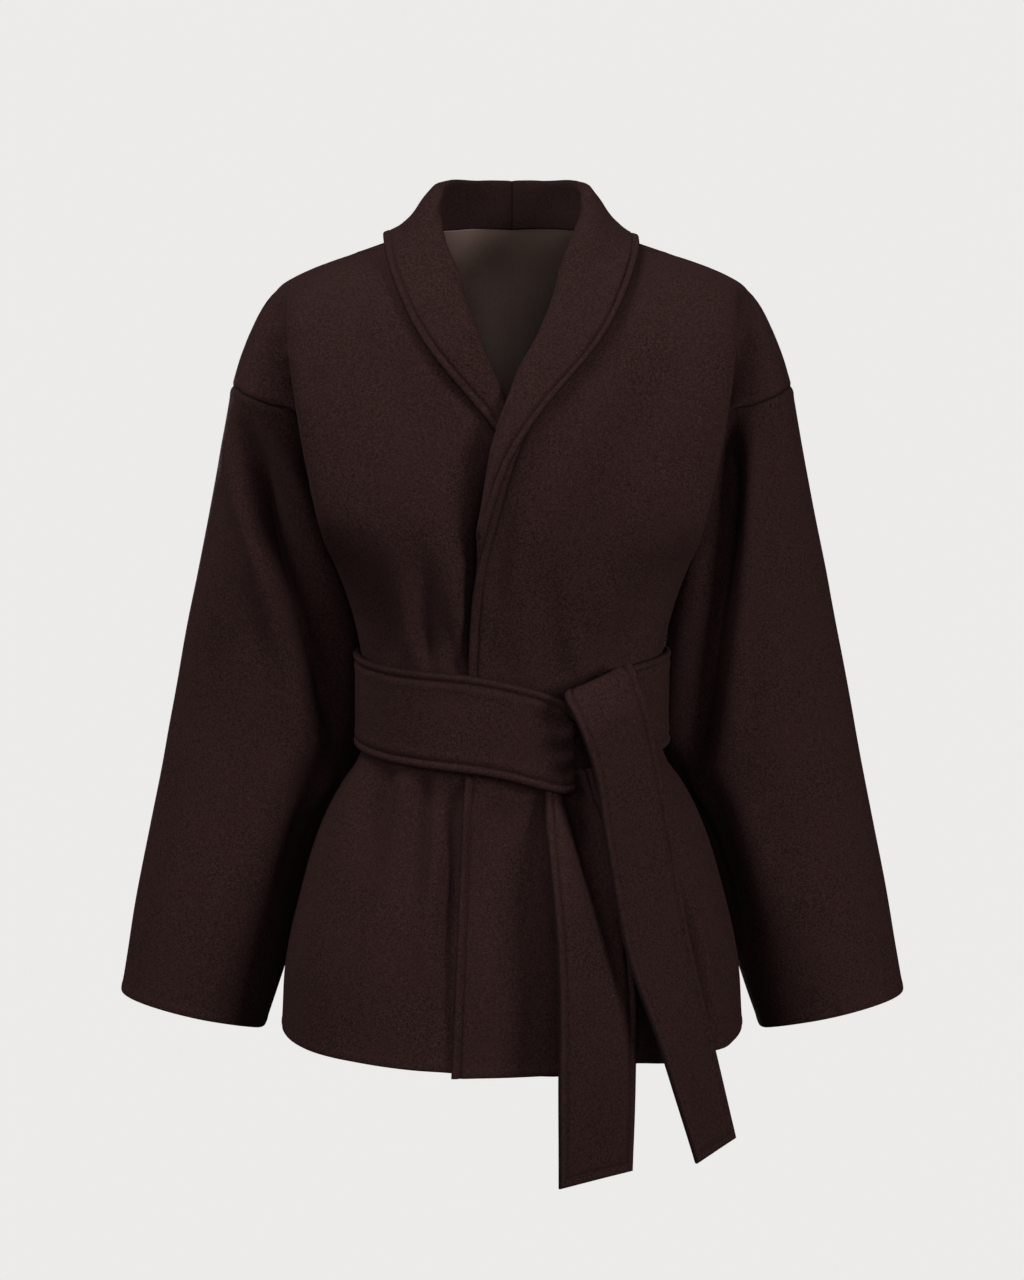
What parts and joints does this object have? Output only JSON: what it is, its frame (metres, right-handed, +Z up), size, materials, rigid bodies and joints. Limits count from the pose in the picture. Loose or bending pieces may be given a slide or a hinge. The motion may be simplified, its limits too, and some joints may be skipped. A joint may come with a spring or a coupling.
{
  "type": "shawl collar coat",
  "caption": "Hip-length wrap coat in dark felted wool with a shawl collar, dropped shoulders, wide straight sleeves and a tied belt, filled out as worn with an empty hollow.",
  "frame": {"origin": "between the wearer's shoulders, at the height where the shoulder seams meet the neck", "axes": "+Z up, +X to the wearer's left, the front faces -Y"},
  "size_m": [0.699, 0.3484, 0.8309],
  "materials": {
    "wool_melton": "felted wool melton, very dark oxblood brown, matt with a soft nap",
    "lining_satin": "dark brown satin lining with a soft sheen"
  },
  "bodies": {
    "root": {"back": "wool_melton", "front_left": "wool_melton", "front_right": "wool_melton", "sleeve_left": "wool_melton", "sleeve_right": "wool_melton", "collar_left": "wool_melton", "collar_right": "wool_melton", "belt_band": "wool_melton", "belt_tail_upper": "wool_melton", "belt_tail_lower": "wool_melton", "back_lining": "lining_satin"}
  },
  "joints": []
}
